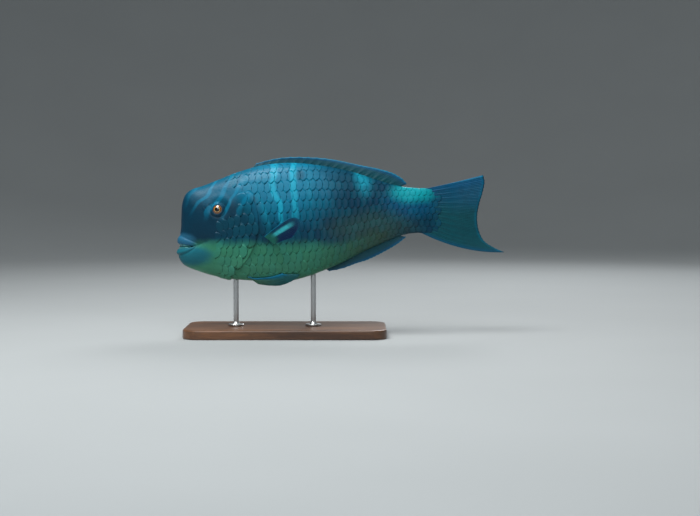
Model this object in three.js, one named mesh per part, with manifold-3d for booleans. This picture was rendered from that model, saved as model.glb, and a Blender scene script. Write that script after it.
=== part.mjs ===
// A terminal-phase male steephead parrotfish, life size, swimming level on a plain display stand.
// Millimetres, +Z up. The fish faces -X and its left flank faces -Y. The origin is the middle of
// the underside of the stand's base. Outlines are drawn in the fish's own side view, where x runs
// back from the front of the lips and z up from the level of the lateral line's rear part.

import * as THREE from 'three';
import { mergeVertices } from 'three/addons/utils/BufferGeometryUtils.js';
import Module from 'manifold-3d';

const wasm = await Module();
wasm.setup();

// Driving dimensions of the fish
const swimHeight = 170; // the side view's z = 0 above the floor
const standBehindLips = 165; // the stand's middle, behind the front of the lips
const seam = 0.3; // gap between parts that meet
const headEnd = 100; // behind this the body is drawn in upright sections
const bodyEnd = 364; // end of the full tail stalk
const bodyTip = 374; // end of its wedge, where the tail fin starts
const tipHalfWidth = 1.5;
const tailSweep = 14; // how far the tip of the tail has swung to the fish's right
const sweepStart = 170;
const sweepEnd = 490;

// The body's outlines without fins, as x and z
const back = [
  [3, -36], [4, -25], [7, -12], [8, 8], [9.5, 28], [15, 42], [25, 49.5], [42, 55], [66, 64.5],
  [96, 76], [129, 85.5], [171, 89], [216, 85.5], [261, 76.5], [298, 65], [330, 55], [364, 51],
];
const belly = [
  [3, -36], [2.5, -48], [10, -63], [36, -75], [70, -84], [114, -88.5], [160, -90], [201, -81],
  [246, -63], [283, -44], [321, -27], [345, -19], [364, -17],
];
// Height of the widest level of the flank, and half the width there
const flankLevel = [[30, -36], [55, -26], [100, -12], [160, -8], [250, 1], [320, 13], [364, 17]];
const halfWidth = [
  [30, 19], [60, 29], [100, 35.5], [150, 38], [200, 35], [250, 27.5], [300, 18], [340, 11],
  [364, 8.5],
];
const fullness = 0.92; // below 1 the flank is fuller than an ellipse

// Head
const eye = { x: 67, z: 21, radius: 10.5, depth: 7, rim: 1.7 };
const nostrils = [{ x: 46, z: 22, radius: 1.5 }, { x: 53, z: 25, radius: 1.9 }];
const mouth = { z: -36, corner: 30, length: 27, halfWidth: 19, gape: 4.6, sweep: 1.36 };
const lip = { height: 5.4, thickness: 4, sunk: 1.6 };
const beakDepth = 8;
const gillEdge = [
  [90, 104], [97, 76], [111, 48], [122, 21], [125, 0], [122, -24], [110, -51], [92, -72], [77, -88],
  [66, -104],
];
const gillCoverFront = [[105, 41], [95, 30], [89, 6], [86, -22], [82, -48], [79, -70]];
const gillCoverBack = [[96, -78], [130, -51], [140, 0], [130, 44], [117, 47]];
const gillCover = { thickness: 4, swell: 1.6, swellLength: 26 };
const stalkStart = 335; // cut between trunk and tail stalk

// Display stand
const base = { length: 300, width: 150, height: 14, corner: 22, bevel: 2 };
const rod = { radius: 4, foot: 12, footHeight: 3, sides: 18 };
const rodPlaces = { front: 90, rear: 206 };

// Curves

function smoothThrough(points) {
  // A smooth function of x through the points, flat beyond the first and the last
  const slope = points.map((p, i) => {
    const before = points[Math.max(i - 1, 0)];
    const after = points[Math.min(i + 1, points.length - 1)];
    return (after[1] - before[1]) / (after[0] - before[0]);
  });
  return (x) => {
    if (x <= points[0][0]) return points[0][1];
    if (x >= points.at(-1)[0]) return points.at(-1)[1];
    const i = points.findIndex((p) => p[0] > x) - 1;
    const [x0, y0] = points[i];
    const [x1, y1] = points[i + 1];
    const span = x1 - x0;
    const t = (x - x0) / span;
    const rise = t * t * (3 - 2 * t);
    const curl = span * (slope[i] * t * (1 - t) ** 2 - slope[i + 1] * t * t * (1 - t));
    return y0 + (y1 - y0) * rise + curl;
  };
}

function curveThrough(points) {
  const places = points.map(([x, z]) => new THREE.Vector3(x, 0, z));
  const curve = new THREE.CatmullRomCurve3(places, false, 'centripetal');
  curve.arcLengthDivisions = 400;
  return curve;
}

function shareAtX(curve, x) {
  // How far along the curve it last passes x, where x grows steadily
  let low = 0.2;
  let high = 1;
  for (let step = 0; step < 30; step += 1) {
    const middle = (low + high) / 2;
    if (curve.getPointAt(middle).x < x) low = middle;
    else high = middle;
  }
  return (low + high) / 2;
}

const backCurve = curveThrough(back);
const bellyCurve = curveThrough(belly);
const backToNape = shareAtX(backCurve, headEnd);
const bellyToThroat = shareAtX(bellyCurve, headEnd);
const flankAt = smoothThrough(flankLevel);
const widthAt = smoothThrough(halfWidth);
const backAt = (x) => backCurve.getPointAt(shareAtX(backCurve, x)).z;
const bellyAt = (x) => bellyCurve.getPointAt(shareAtX(bellyCurve, x)).z;
const tailSwing = (x) => tailSweep * (Math.max(x - sweepStart, 0) / (sweepEnd - sweepStart)) ** 2;

// Meshes and solids

function meshOf(positions, triangles) {
  const geometry = new THREE.BufferGeometry();
  geometry.setAttribute('position', new THREE.Float32BufferAttribute(positions, 3));
  geometry.setIndex(triangles);
  return geometry;
}

function solidOf(geometry) {
  // A closed mesh as a solid, turned right side out
  const bare = geometry.clone();
  bare.deleteAttribute('normal');
  bare.deleteAttribute('uv');
  const merged = mergeVertices(bare, 1e-4);
  const corners = merged.index.array;
  const points = merged.attributes.position;
  const [p, q, r] = [new THREE.Vector3(), new THREE.Vector3(), new THREE.Vector3()];
  const triVerts = [];
  let volume = 0;
  for (let i = 0; i < corners.length; i += 3) {
    const [a, b, c] = [corners[i], corners[i + 1], corners[i + 2]];
    if (a === b || b === c || c === a) continue;
    triVerts.push(a, b, c);
    [p, q, r].forEach((corner, k) => corner.fromBufferAttribute(points, corners[i + k]));
    volume += p.dot(q.cross(r));
  }
  if (volume < 0) triVerts.reverse();
  return new wasm.Manifold(new wasm.Mesh({
    numProp: 3,
    vertProperties: new Float32Array(points.array),
    triVerts: new Uint32Array(triVerts),
  }));
}

function largestOf(solid) {
  // Only the largest closed surface, without loose scraps or sealed hollows
  const pieces = solid.decompose();
  return pieces.reduce((best, piece) => (piece.volume() > best.volume() ? piece : best));
}

function geometryOf(solid) {
  const mesh = largestOf(solid).getMesh();
  return meshOf(Array.from(mesh.vertProperties), Array.from(mesh.triVerts));
}

function loft(rings, capStart = true) {
  // A skin over rings of points, each ring with as many points as the next
  const count = rings[0].length;
  const positions = rings.flat().flatMap((p) => [p.x, p.y, p.z]);
  const triangles = [];
  for (let r = 0; r + 1 < rings.length; r += 1) {
    for (let k = 0; k < count; k += 1) {
      const a = r * count + k;
      const b = r * count + ((k + 1) % count);
      triangles.push(a, b, a + count, b, b + count, a + count);
    }
  }
  const close = (ring, start, turned) => {
    const middle = positions.length / 3;
    const centre = ring.reduce((sum, p) => sum.add(p), new THREE.Vector3()).divideScalar(count);
    positions.push(centre.x, centre.y, centre.z);
    for (let k = 0; k < count; k += 1) {
      const a = start + k;
      const b = start + ((k + 1) % count);
      if (turned) triangles.push(a, b, middle);
      else triangles.push(b, a, middle);
    }
  };
  if (capStart) close(rings[0], 0, false);
  close(rings.at(-1), (rings.length - 1) * count, true);
  return meshOf(positions, triangles);
}

function extrudeAcross(points, fromY, toY) {
  // A side-view outline made solid from one y to another
  const shape = new THREE.Shape(points.map(([x, z]) => new THREE.Vector2(x, z)));
  const slab = new THREE.ExtrudeGeometry(shape, { depth: toY - fromY, bevelEnabled: false });
  slab.rotateX(Math.PI / 2);
  slab.translate(0, toY, 0);
  return solidOf(slab);
}

// The body

const ringQuarter = 8;
const headRings = 15;
const trunkStep = 13;

function bodyStations() {
  // Each station has a point of the back, one of the belly, and the flank's widest point between
  const stations = [];
  for (let i = 0; i <= headRings; i += 1) {
    const t = i / headRings;
    const x = THREE.MathUtils.lerp(flankLevel[0][0], headEnd, t);
    stations.push({
      back: backCurve.getPointAt(backToNape * t),
      belly: bellyCurve.getPointAt(bellyToThroat * t),
      flank: new THREE.Vector3(x, 0, flankAt(x)),
      width: widthAt(x),
    });
  }
  const steps = Math.round((bodyEnd - headEnd) / trunkStep);
  for (let i = 1; i <= steps; i += 1) {
    const x = THREE.MathUtils.lerp(headEnd, bodyEnd, i / steps);
    stations.push({
      back: new THREE.Vector3(x, 0, backAt(x)),
      belly: new THREE.Vector3(x, 0, bellyAt(x)),
      flank: new THREE.Vector3(x, 0, flankAt(x)),
      width: widthAt(x),
    });
  }
  const last = stations.at(-1);
  for (const t of [0.5, 1]) {
    const x = THREE.MathUtils.lerp(bodyEnd, bodyTip, t);
    stations.push({
      back: new THREE.Vector3(x, 0, last.back.z),
      belly: new THREE.Vector3(x, 0, last.belly.z - 2 * t),
      flank: new THREE.Vector3(x, 0, last.flank.z),
      width: THREE.MathUtils.lerp(widthAt(bodyEnd), tipHalfWidth, t),
    });
  }
  return stations;
}

const stations = bodyStations();

function bodyRing(station, grow, extra) {
  const ring = [];
  const middle = station.flank;
  for (let k = 0; k < ringQuarter * 4; k += 1) {
    const angle = (k / (ringQuarter * 4)) * 2 * Math.PI;
    const up = Math.cos(angle);
    const out = Math.sin(angle);
    const edge = up >= 0 ? station.back : station.belly;
    const reach = edge.clone().sub(middle);
    reach.setLength(reach.length() + grow);
    const point = middle.clone().addScaledVector(reach, Math.abs(up) < 1e-9 ? 0 : Math.abs(up) ** fullness);
    const wide = (station.width + grow) * Math.abs(out) ** fullness;
    point.y = Math.abs(out) < 1e-9 ? 0 : Math.sign(out) * (wide + extra(point.x, point.z) * Math.abs(out));
    ring.push(point);
  }
  return ring;
}

function body({ grow = 0, extra = () => 0 } = {}) {
  const rings = stations.map((station) => bodyRing(station, grow, extra));
  for (const point of rings.at(-1)) point.x += grow;
  return solidOf(loft(rings, false));
}

function skinY(x, z) {
  // How far the left flank stands out at a place of the side view behind the head
  const level = flankAt(x);
  const reach = z > level ? backAt(x) - level : level - bellyAt(x);
  const up = Math.min(Math.abs(z - level) / reach, 1) ** (1 / fullness);
  return widthAt(x) * Math.sqrt(1 - up * up) ** fullness;
}

function skinHit(solid, x, z) {
  // Where a line across the body at x, z leaves the left side of a solid
  const mesh = solid.getMesh();
  const v = mesh.vertProperties;
  const ray = new THREE.Ray(new THREE.Vector3(x, -200, z), new THREE.Vector3(0, 1, 0));
  const corners = [new THREE.Vector3(), new THREE.Vector3(), new THREE.Vector3()];
  let nearest = null;
  for (let i = 0; i < mesh.triVerts.length; i += 3) {
    corners.forEach((corner, k) => corner.fromArray(v, mesh.triVerts[i + k] * 3));
    const hit = ray.intersectTriangle(...corners, false, new THREE.Vector3());
    if (hit && (!nearest || hit.y < nearest.point.y)) {
      const normal = new THREE.Triangle(...corners).getNormal(new THREE.Vector3());
      nearest = { point: hit, normal };
    }
  }
  return nearest;
}

// Regions of the side view that part the body

const far = 600;
const acrossBody = 120;
const edgePoints = (points, steps) => curveThrough(points).getSpacedPoints(steps).map((p) => [p.x, p.z]);
const gillLine = edgePoints(gillEdge, 26);
const shifted = (points, dx) => points.map(([x, z]) => [x + dx, z]);

const headRegion = extrudeAcross([...gillLine, [-far, -104], [-far, 104]], -acrossBody, acrossBody);
const trunkRegion = extrudeAcross(
  [...shifted(gillLine, seam), [stalkStart, -104], [stalkStart, 104]], -acrossBody, acrossBody,
);
const stalkRegion = extrudeAcross(
  [[stalkStart + seam, -104], [far, -104], [far, 104], [stalkStart + seam, 104]], -acrossBody, acrossBody,
);
const coverOutline = [...edgePoints(gillCoverFront, 10), ...edgePoints(gillCoverBack, 16)];
const coverMiddle = [105, -18];
const grown = (points, by) => points.map(([x, z]) => {
  const away = new THREE.Vector2(x - coverMiddle[0], z - coverMiddle[1]);
  away.setLength(away.length() + by);
  return [coverMiddle[0] + away.x, coverMiddle[1] + away.y];
});

// Head

function gillDistance(x, z) {
  // How far ahead of the gill edge a place of the side view lies
  const edge = gillLine.reduce((best, p) => (Math.abs(p[1] - z) < Math.abs(best[1] - z) ? p : best));
  return edge[0] - x;
}

function gillSwell(x, z) {
  const ahead = gillDistance(x, z);
  const along = THREE.MathUtils.smoothstep(gillCover.swellLength - ahead, 0, gillCover.swellLength);
  const upDown = THREE.MathUtils.smoothstep(z, -95, -70) * (1 - THREE.MathUtils.smoothstep(z, 35, 60));
  return gillCover.swell * along * upDown;
}

function mouthPoint(angle, out, up) {
  // A place round the mouth: angle from straight ahead, out from its rim, up from its line
  const x = mouth.corner - (mouth.length + out) * Math.cos(angle);
  const y = (mouth.halfWidth + out) * Math.sin(angle);
  return new THREE.Vector3(x, y, mouth.z + up);
}

function roundMouth(section, steps = 18) {
  // A bar bent round the front of the mouth, its section given at each angle
  const rings = [];
  for (let i = 0; i <= steps; i += 1) {
    const t = (i / steps) * 2 - 1;
    rings.push(section(t).map(([out, up]) => mouthPoint(t * mouth.sweep, out, up)));
  }
  return solidOf(loft(rings));
}

const gapeAt = (t) => mouth.gape * (1 - 0.8 * t * t);

function lipBar(side) {
  const sides = 8;
  return roundMouth((t) => {
    const size = 1 - 0.45 * t * t;
    const ring = [];
    for (let k = 0; k < sides; k += 1) {
      const angle = (k / sides) * 2 * Math.PI;
      const out = lip.thickness * size * Math.cos(angle) - lip.sunk;
      const up = side * (gapeAt(t) + lip.height * size * 0.92) + lip.height * size * Math.sin(angle);
      ring.push([out, up]);
    }
    return ring;
  });
}

function mouthBox(inner, outer, low, high) {
  return roundMouth((t) => [
    [inner, low(t)], [outer, low(t)], [outer, high(t)], [inner, high(t)],
  ]);
}

function ringAround(place, normal, major, minor, around) {
  const torus = new THREE.TorusGeometry(major, minor, 6, around);
  torus.applyQuaternion(new THREE.Quaternion().setFromUnitVectors(new THREE.Vector3(0, 0, 1), normal));
  torus.translate(place.x, place.y, place.z);
  return solidOf(torus);
}

function ball(place, radius, around = 20, rows = 12) {
  const sphere = new THREE.SphereGeometry(radius, around, rows);
  sphere.translate(place.x, place.y, place.z);
  return solidOf(sphere);
}

const mirrorY = (v) => new THREE.Vector3(v.x, -v.y, v.z);
const plainBody = body();
const swollenBody = body({ extra: gillSwell });
const cuttingBody = body({ grow: seam, extra: gillSwell });
const innerBody = body({ grow: -gillCover.thickness });
const recessBody = body({ grow: -gillCover.thickness - seam });

const leftEye = skinHit(swollenBody, eye.x, eye.z);
const eyePlaces = {
  left: leftEye.point.clone().addScaledVector(leftEye.normal, -eye.depth),
};
eyePlaces.right = mirrorY(eyePlaces.left);

function coverSolid(side) {
  const [from, to] = side < 0 ? [-acrossBody, -12] : [12, acrossBody];
  return swollenBody.intersect(headRegion).intersect(extrudeAcross(coverOutline, from, to)).subtract(innerBody);
}

function coverRecess(side) {
  const [from, to] = side < 0 ? [-acrossBody, -12 + seam] : [12 - seam, acrossBody];
  return extrudeAcross(grown(coverOutline, seam * 1.3), from, to).subtract(recessBody);
}

function headSolid() {
  let head = swollenBody.intersect(headRegion);
  head = head.add(lipBar(1)).add(lipBar(-1));
  const opening = Math.sqrt(eye.radius ** 2 - eye.depth ** 2);
  for (const side of [-1, 1]) {
    const mirrored = (v) => (side < 0 ? v : mirrorY(v));
    const normal = mirrored(leftEye.normal);
    head = head.add(ringAround(mirrored(leftEye.point), normal, opening + eye.rim * 0.7, eye.rim, 20));
    head = head.subtract(ball(mirrored(eyePlaces.left), eye.radius + seam));
    for (const nostril of nostrils) {
      const hit = skinHit(swollenBody, nostril.x, nostril.z);
      const rim = ringAround(mirrored(hit.point), normal, nostril.radius * 1.2, nostril.radius * 0.55, 9);
      head = head.add(rim).subtract(ball(mirrored(hit.point), nostril.radius, 9, 6));
    }
    head = head.subtract(coverRecess(side));
  }
  const pocket = mouthBox(-beakDepth - seam, 12, (t) => -gapeAt(t), (t) => gapeAt(t));
  return head.subtract(pocket);
}

function beak(side) {
  // A dental plate, its cutting edge a little behind its root
  return roundMouth((t) => {
    const bite = side * seam * 0.5;
    const root = side * (gapeAt(t) - seam);
    return [[-beakDepth, bite], [-0.6, bite], [0.4, root], [-beakDepth, root]];
  });
}

// Fins: a thin sheet with a ridge along each ray

function fin({ at, rays, rows, root, edge, rib }) {
  // at gives the middle of the sheet, u from the first ray to the last and v from root to edge
  const columns = (rays - 1) * 2;
  const step = 1e-3;
  const faces = [[], []];
  for (let i = 0; i <= columns; i += 1) {
    for (let j = 0; j <= rows; j += 1) {
      const u = i / columns;
      const v = j / rows;
      const middle = at(u, v);
      const alongU = at(Math.min(u + step, 1), v).sub(at(Math.max(u - step, 0), v));
      const alongV = at(u, Math.min(v + step, 1)).sub(at(u, Math.max(v - step, 0)));
      const normal = alongU.cross(alongV).normalize();
      const ridge = i % 2 === 0 ? rib * (1 - 0.6 * v) : 0;
      const half = THREE.MathUtils.lerp(root, edge, v ** 0.7) / 2 + ridge;
      faces[0].push(middle.clone().addScaledVector(normal, half));
      faces[1].push(middle.clone().addScaledVector(normal, -half));
    }
  }
  const across = rows + 1;
  const back = faces[0].length;
  const triangles = [];
  for (let i = 0; i < columns; i += 1) {
    for (let j = 0; j < rows; j += 1) {
      const a = i * across + j;
      const [b, c, d] = [a + across, a + across + 1, a + 1];
      triangles.push(a, b, c, a, c, d);
      triangles.push(back + a, back + c, back + b, back + a, back + d, back + c);
    }
  }
  const wall = (a, b) => triangles.push(a, back + a, back + b, a, back + b, b);
  for (let i = 0; i < columns; i += 1) {
    wall(i * across, (i + 1) * across);
    wall((i + 1) * across + rows, i * across + rows);
  }
  for (let j = 0; j < rows; j += 1) {
    wall(j + 1, j);
    wall(columns * across + j, columns * across + j + 1);
  }
  const positions = faces.flat().flatMap((p) => [p.x, p.y, p.z]);
  return solidOf(meshOf(positions, triangles));
}

const finParts = {};
const lerp = THREE.MathUtils.lerp;
const sunk = 5; // how deep a fin's root starts below the skin before it is cut clear

// Dorsal fin, nine spines and ten rays, folded well back
const dorsal = {
  start: 112, end: 329, rays: 19,
  margin: [
    [121, 88], [150, 95], [179, 97.5], [231, 94.5], [276, 85.5], [306, 79.5], [327, 73], [340, 65],
    [347, 57],
  ],
};
const dorsalEdge = curveThrough(dorsal.margin);

function dorsalAt(u, v) {
  const x = lerp(dorsal.start, dorsal.end, u);
  const foot = new THREE.Vector3(x, 0, backAt(x) - sunk);
  const tip = dorsalEdge.getPointAt(u);
  return foot.lerp(tip, v);
}

// Anal fin, three spines and nine rays
const anal = {
  start: 222, end: 329, rays: 12,
  margin: [[230, -74], [250, -70], [272, -62], [287, -57.5], [313, -45], [333, -33], [346, -22.5]],
};
const analEdge = curveThrough(anal.margin);

function analAt(u, v) {
  const x = lerp(anal.start, anal.end, u);
  const foot = new THREE.Vector3(x, 0, bellyAt(x) + sunk);
  return foot.lerp(analEdge.getPointAt(u), v);
}

// Tail fin, the lower lobe longer than the upper
const tail = {
  rays: 14, bowTop: 1.4, bowBottom: 17, rootTop: 49, rootBottom: -17,
  margin: [
    [462, 70.5], [464, 60], [461, 44], [456, 27], [453, 8], [455, -11], [463, -28], [477, -38],
    [495, -46],
  ],
};
const tailEdge = curveThrough(tail.margin);

function tailAt(u, v) {
  const foot = new THREE.Vector3(bodyTip - sunk, 0, lerp(tail.rootTop, tail.rootBottom, u));
  const tip = tailEdge.getPointAt(u);
  const middle = foot.clone().lerp(tip, 0.5);
  middle.z -= u < 0.5 ? tail.bowTop * (1 - 2 * u) : tail.bowBottom * (2 * u - 1);
  const curve = new THREE.QuadraticBezierCurve3(foot, middle, tip);
  return curve.getPoint(v);
}

// Paired fins are made for the left side, where y is negative
const pectoral = {
  rays: 13, rootTop: [133, -22], rootBottom: [147, -33], camber: 7,
  leading: new THREE.Vector3(0.36, -0.865, 0.36), trailing: new THREE.Vector3(0.5, -0.8, 0.33),
  reach: [[0, 88], [0.15, 98], [0.35, 99], [0.65, 82], [1, 46]],
};
const pectoralReach = smoothThrough(pectoral.reach);

function pectoralAt(u, v) {
  const x = lerp(pectoral.rootTop[0], pectoral.rootBottom[0], u);
  const z = lerp(pectoral.rootTop[1], pectoral.rootBottom[1], u);
  const foot = new THREE.Vector3(x, -skinY(x, z) + sunk, z);
  const heading = pectoral.leading.clone().lerp(pectoral.trailing, u).normalize();
  const length = pectoralReach(u) + sunk;
  const lag = new THREE.Vector3(0.4, 0.35, -0.5).multiplyScalar(pectoral.camber * v * v);
  return foot.addScaledVector(heading, length * v).add(lag);
}

const pelvic = {
  rays: 6, rootOuter: [103, -15], rootInner: [113, -6.5],
  reach: [[0, 58], [0.25, 82], [0.6, 68], [1, 44]], splay: 13, drop: 7,
};
const pelvicReach = smoothThrough(pelvic.reach);

function bellySkin(x, y) {
  // The height of the underside at x, for a place y off the midline
  const out = Math.min(Math.abs(y) / widthAt(x), 1) ** (1 / fullness);
  return flankAt(x) - (flankAt(x) - bellyAt(x)) * Math.sqrt(1 - out * out) ** fullness;
}

function pelvicAt(u, v) {
  const x = lerp(pelvic.rootOuter[0], pelvic.rootInner[0], u);
  const y = lerp(pelvic.rootOuter[1], pelvic.rootInner[1], u);
  const length = pelvicReach(u);
  const px = x + length * v;
  const py = y - pelvic.splay * (1 - u) * v * 0.8 - 2 * v * u;
  const clear = lerp(-3.5, 2.2, Math.min(v * 4, 1)) + pelvic.drop * v * (0.35 + 0.65 * u) * (1 - 0.45 * v);
  return new THREE.Vector3(px, py, bellySkin(px, py) - clear);
}

function cutClear(solid) {
  return solid.subtract(cuttingBody);
}

finParts.dorsal_fin = fin({ at: dorsalAt, rays: dorsal.rays, rows: 5, root: 2.6, edge: 0.7, rib: 0.45 });
finParts.anal_fin = fin({ at: analAt, rays: anal.rays, rows: 5, root: 2.4, edge: 0.7, rib: 0.45 });
finParts.caudal_fin = fin({ at: tailAt, rays: tail.rays, rows: 9, root: 2.2, edge: 0.8, rib: 0.4 });
const leftPectoral = fin({ at: pectoralAt, rays: pectoral.rays, rows: 7, root: 2.4, edge: 0.6, rib: 0.35 });
const leftPelvic = fin({ at: pelvicAt, rays: pelvic.rays, rows: 7, root: 2.2, edge: 0.7, rib: 0.5 });

// Materials, one plain colour each

const paint = (colour, roughness, metalness = 0) => () => new THREE.MeshStandardMaterial({
  color: colour, roughness, metalness,
});
const finish = {
  skin: paint(0x1f6f80, 0.4),
  fin: paint(0x14607c, 0.45),
  lips: paint(0x3f93a5, 0.4),
  beak: paint(0x2f8f96, 0.25),
  eye: paint(0x151a1c, 0.1),
  base: paint(0x3a2a1e, 0.5),
  rod: paint(0xb8bcc0, 0.3, 1),
};

// The assembly

const parrotfish = new THREE.Group();

function place(name, geometry, material) {
  geometry.computeVertexNormals();
  const mesh = new THREE.Mesh(geometry, material());
  mesh.name = name;
  parrotfish.add(mesh);
}

function placeFlesh(name, solid, material) {
  // From the side view's frame to the part's own, with the swing of the tail
  const geometry = geometryOf(solid);
  const position = geometry.attributes.position;
  for (let i = 0; i < position.count; i += 1) {
    const x = position.getX(i);
    position.setXYZ(i, x - standBehindLips, position.getY(i) + tailSwing(x), position.getZ(i) + swimHeight);
  }
  place(name, geometry, material);
}

const mirrored = (solid) => solid.mirror([0, 1, 0]);

placeFlesh('head', headSolid(), finish.skin);
placeFlesh('gill_cover_left', coverSolid(-1), finish.skin);
placeFlesh('gill_cover_right', coverSolid(1), finish.skin);
placeFlesh('torso', plainBody.intersect(trunkRegion), finish.skin);
placeFlesh('tail_stalk', plainBody.intersect(stalkRegion), finish.skin);
placeFlesh('beak_upper', beak(1), finish.beak);
placeFlesh('beak_lower', beak(-1), finish.beak);
placeFlesh('eye_left', ball(eyePlaces.left, eye.radius), finish.eye);
placeFlesh('eye_right', ball(eyePlaces.right, eye.radius), finish.eye);
for (const [name, solid] of Object.entries(finParts)) placeFlesh(name, cutClear(solid), finish.fin);
placeFlesh('pectoral_fin_left', cutClear(leftPectoral), finish.fin);
placeFlesh('pectoral_fin_right', cutClear(mirrored(leftPectoral)), finish.fin);
placeFlesh('pelvic_fin_left', cutClear(leftPelvic), finish.fin);
placeFlesh('pelvic_fin_right', cutClear(mirrored(leftPelvic)), finish.fin);

// Display stand

function baseGeometry() {
  const { length, width, height, corner, bevel } = base;
  const [x, y] = [length / 2 - bevel, width / 2 - bevel];
  const shape = new THREE.Shape();
  shape.moveTo(-x + corner, -y);
  shape.lineTo(x - corner, -y);
  shape.absarc(x - corner, -y + corner, corner, -Math.PI / 2, 0);
  shape.lineTo(x, y - corner);
  shape.absarc(x - corner, y - corner, corner, 0, Math.PI / 2);
  shape.lineTo(-x + corner, y);
  shape.absarc(-x + corner, y - corner, corner, Math.PI / 2, Math.PI);
  shape.lineTo(-x, -y + corner);
  shape.absarc(-x + corner, -y + corner, corner, Math.PI, Math.PI * 1.5);
  const slab = new THREE.ExtrudeGeometry(shape, {
    depth: height - 2 * bevel, bevelThickness: bevel, bevelSize: bevel, bevelSegments: 2, curveSegments: 5,
  });
  slab.translate(0, 0, bevel);
  return geometryOf(solidOf(slab));
}

function rodSolid(x) {
  const floor = base.height + seam - swimHeight;
  const top = bellyAt(x) + 12;
  const { radius, foot, footHeight, sides } = rod;
  const profile = [
    [0, floor], [foot - 0.8, floor], [foot, floor + 0.8], [foot, floor + footHeight - 0.8],
    [foot - 0.8, floor + footHeight], [radius + 2, floor + footHeight],
    [radius, floor + footHeight + 3], [radius, top], [0, top],
  ];
  const lathe = new THREE.LatheGeometry(profile.map(([r, z]) => new THREE.Vector2(r, z)), sides);
  lathe.rotateX(Math.PI / 2);
  lathe.translate(x, 0, 0);
  return solidOf(lathe).subtract(cuttingBody);
}

place('stand_base', baseGeometry(), finish.base);
for (const [name, x] of Object.entries(rodPlaces)) {
  const geometry = geometryOf(rodSolid(x));
  geometry.translate(-standBehindLips, 0, swimHeight);
  place(`stand_rod_${name}`, geometry, finish.rod);
}

export default parrotfish;
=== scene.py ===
# %% [markdown]
# # A steephead parrotfish on a display stand
# The measured frame gives every part its place: body, fins, eyes and dental plates of a male fish
# half a metre long, held over a flat base by two rods. This lesson dresses it. One skin takes the
# place of the parts of flesh, scales lie over it like shingles, the fins get their rays and
# membranes, and the stand keeps its own solids under a wood and a steel finish.

# %% Load the frame
import bisect
import math
import random

import bmesh
import bpy
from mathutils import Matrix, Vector, noise


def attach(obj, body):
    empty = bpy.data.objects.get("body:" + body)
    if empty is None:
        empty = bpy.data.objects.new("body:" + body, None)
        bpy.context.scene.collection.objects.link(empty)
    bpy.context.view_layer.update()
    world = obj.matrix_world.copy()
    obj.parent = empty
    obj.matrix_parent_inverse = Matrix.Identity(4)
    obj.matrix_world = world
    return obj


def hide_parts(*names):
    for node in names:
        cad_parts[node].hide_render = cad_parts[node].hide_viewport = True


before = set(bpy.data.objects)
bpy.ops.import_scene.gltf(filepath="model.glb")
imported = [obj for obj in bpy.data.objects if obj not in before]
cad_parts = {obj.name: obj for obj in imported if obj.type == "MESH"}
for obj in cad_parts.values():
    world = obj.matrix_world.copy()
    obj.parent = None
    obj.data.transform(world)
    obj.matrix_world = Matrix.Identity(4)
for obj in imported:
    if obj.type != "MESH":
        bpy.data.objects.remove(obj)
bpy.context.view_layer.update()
print("frame nodes:", len(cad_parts))

# %% [markdown]
# ## The fish's own side view
# The part's outlines are easiest to name in the fish's side view: x runs back from the lips and z
# up from the level of the lateral line, in millimetres. A point of that view becomes a point of
# the frame by a shift, a change of unit, and the slight swing of the tail to the fish's right.

# %% From the side view to the frame
MM = 0.001
SWIM_HEIGHT = 170
STAND_BEHIND_LIPS = 165
TAIL_SWEEP, SWEEP_START, SWEEP_END = 14, 170, 490


def in_frame(p):
    """A point of the side view, with y across the fish, as a point of the frame in metres."""
    swing = TAIL_SWEEP * (max(p.x - SWEEP_START, 0) / (SWEEP_END - SWEEP_START)) ** 2
    return Vector((p.x - STAND_BEHIND_LIPS, p.y + swing, p.z + SWIM_HEIGHT)) * MM


def lerp(a, b, t):
    return a + (b - a) * t


def smooth_step(value, low, high):
    t = min(max((value - low) / (high - low), 0), 1)
    return t * t * (3 - 2 * t)


# %% Curves through a few points
class Outline:
    """A smooth curve through points of the side view, found by its length or by its x."""

    def __init__(self, points, steps=40):
        given = [Vector((x, 0, z)) for x, z in points]
        ends = [given[0] * 2 - given[1], *given, given[-1] * 2 - given[-2]]
        self.points = [given[0]]
        for p0, p1, p2, p3 in zip(ends, ends[1:], ends[2:], ends[3:]):
            d0, d1, d2 = [math.sqrt((b - a).length) for a, b in ((p0, p1), (p1, p2), (p2, p3))]
            t1 = ((p1 - p0) / d0 - (p2 - p0) / (d0 + d1) + (p2 - p1) / d1) * d1
            t2 = ((p2 - p1) / d1 - (p3 - p1) / (d1 + d2) + (p3 - p2) / d2) * d1
            for k in range(1, steps + 1):
                t = k / steps
                rise = t * t * (3 - 2 * t)
                curl = t1 * (t * (1 - t) ** 2) - t2 * (t * t * (1 - t))
                self.points.append(p1.lerp(p2, rise) + curl)
        self.lengths = [0.0]
        for a, b in zip(self.points, self.points[1:]):
            self.lengths.append(self.lengths[-1] + (b - a).length)

    def at(self, share):
        reach = share * self.lengths[-1]
        k = min(max(bisect.bisect_right(self.lengths, reach) - 1, 0), len(self.lengths) - 2)
        t = (reach - self.lengths[k]) / (self.lengths[k + 1] - self.lengths[k])
        return self.points[k].lerp(self.points[k + 1], min(max(t, 0), 1))

    def share_at_x(self, x):
        """The share of the length at which the curve last passes x."""
        k = max(i for i, p in enumerate(self.points[:-1]) if p.x <= x)
        a, b = self.points[k], self.points[k + 1]
        t = min(max((x - a.x) / (b.x - a.x), 0), 1)
        return lerp(self.lengths[k], self.lengths[k + 1], t) / self.lengths[-1]


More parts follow.
